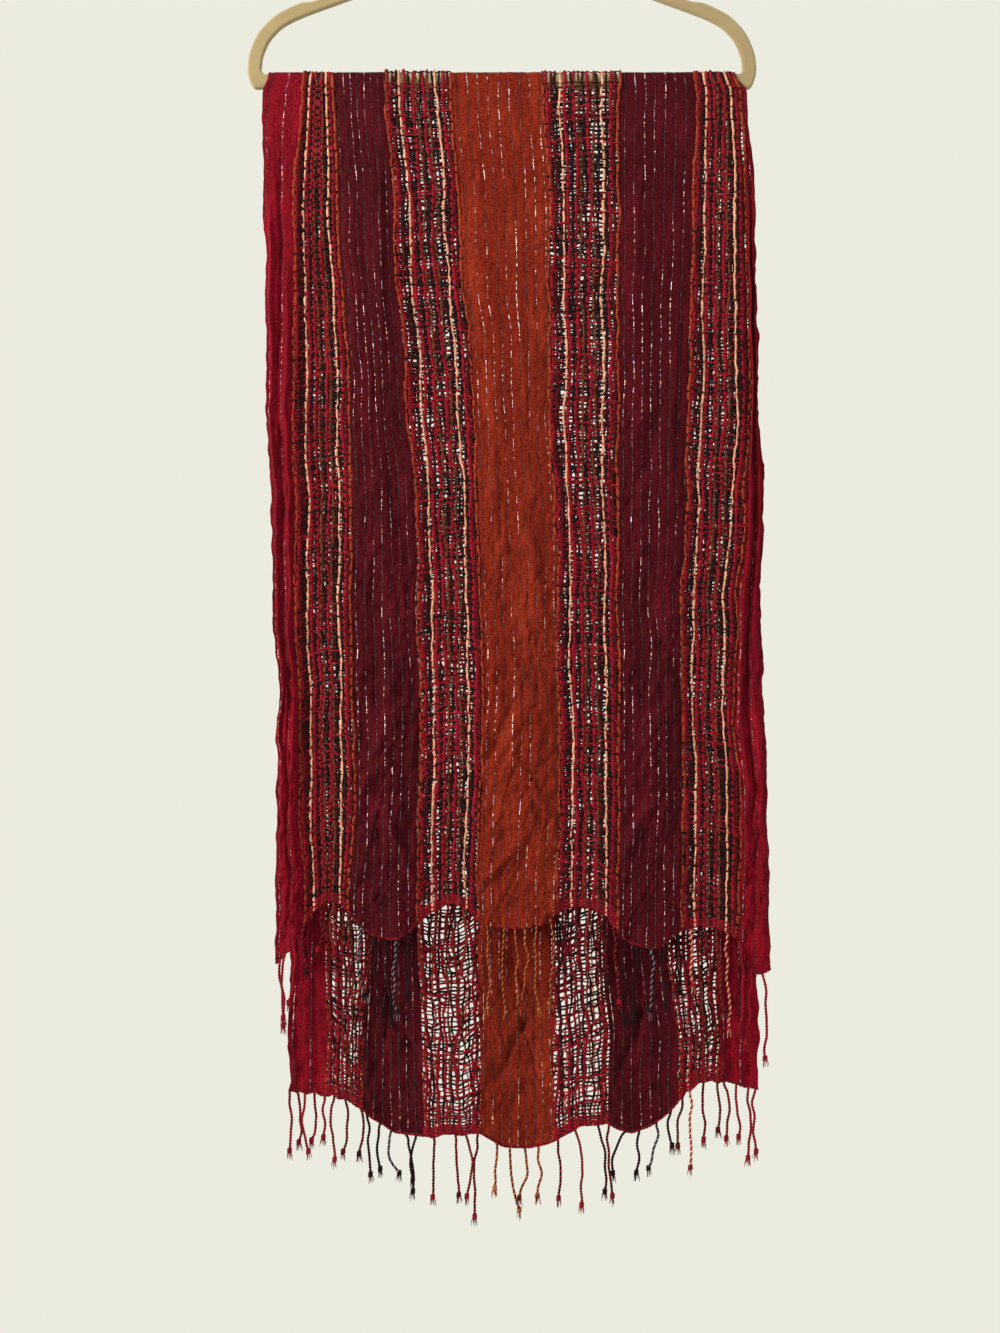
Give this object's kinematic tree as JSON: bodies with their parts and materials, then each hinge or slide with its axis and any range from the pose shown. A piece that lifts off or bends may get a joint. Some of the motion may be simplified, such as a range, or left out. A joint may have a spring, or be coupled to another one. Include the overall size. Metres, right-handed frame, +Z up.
{
  "type": "fringed scarf on a clothes hanger",
  "caption": "Long striped scarf of crinkled gauze and open net with knotted fringes, folded over the bar of a slim flocked hanger.",
  "frame": {"origin": "inside top of the hanger's hook, where a closet rod carries it", "axes": "+Z up; -Y towards the side that the shorter drop of the scarf hangs on, which is the front; +X to the viewer's right when the front is seen"},
  "size_m": [0.4552, 0.0318, 1.2091],
  "materials": {
    "gauze_crimson": "sheer crinkled gauze with fine metallic threads",
    "gauze_plum": "sheer crinkled gauze with fine metallic threads",
    "gauze_rust": "sheer crinkled gauze with fine metallic threads",
    "net": "open net of soft multicoloured yarns",
    "fringe_yarn": "twisted yarn",
    "flocked_plastic": "beige flock, matt",
    "hook_wire": "polished"
  },
  "bodies": {
    "root": {"front_crimson_left": "gauze_crimson", "turn_crimson_left": "gauze_crimson", "back_crimson_left": "gauze_crimson", "front_net_outer_left": "net", "turn_net_outer_left": "net", "back_net_outer_left": "net", "front_plum_left": "gauze_plum", "turn_plum_left": "gauze_plum", "back_plum_left": "gauze_plum", "front_net_inner_left": "net", "turn_net_inner_left": "net", "back_net_inner_left": "net", "front_rust_centre": "gauze_rust", "turn_rust_centre": "gauze_rust", "back_rust_centre": "gauze_rust", "front_net_inner_right": "net", "turn_net_inner_right": "net", "back_net_inner_right": "net", "front_plum_right": "gauze_plum", "turn_plum_right": "gauze_plum", "back_plum_right": "gauze_plum", "front_net_outer_right": "net", "turn_net_outer_right": "net", "back_net_outer_right": "net", "front_crimson_right": "gauze_crimson", "turn_crimson_right": "gauze_crimson", "back_crimson_right": "gauze_crimson", "front_fringe": "fringe_yarn", "back_fringe": "fringe_yarn", "hanger_frame": "flocked_plastic", "hanger_hook": "hook_wire"}
  },
  "joints": []
}
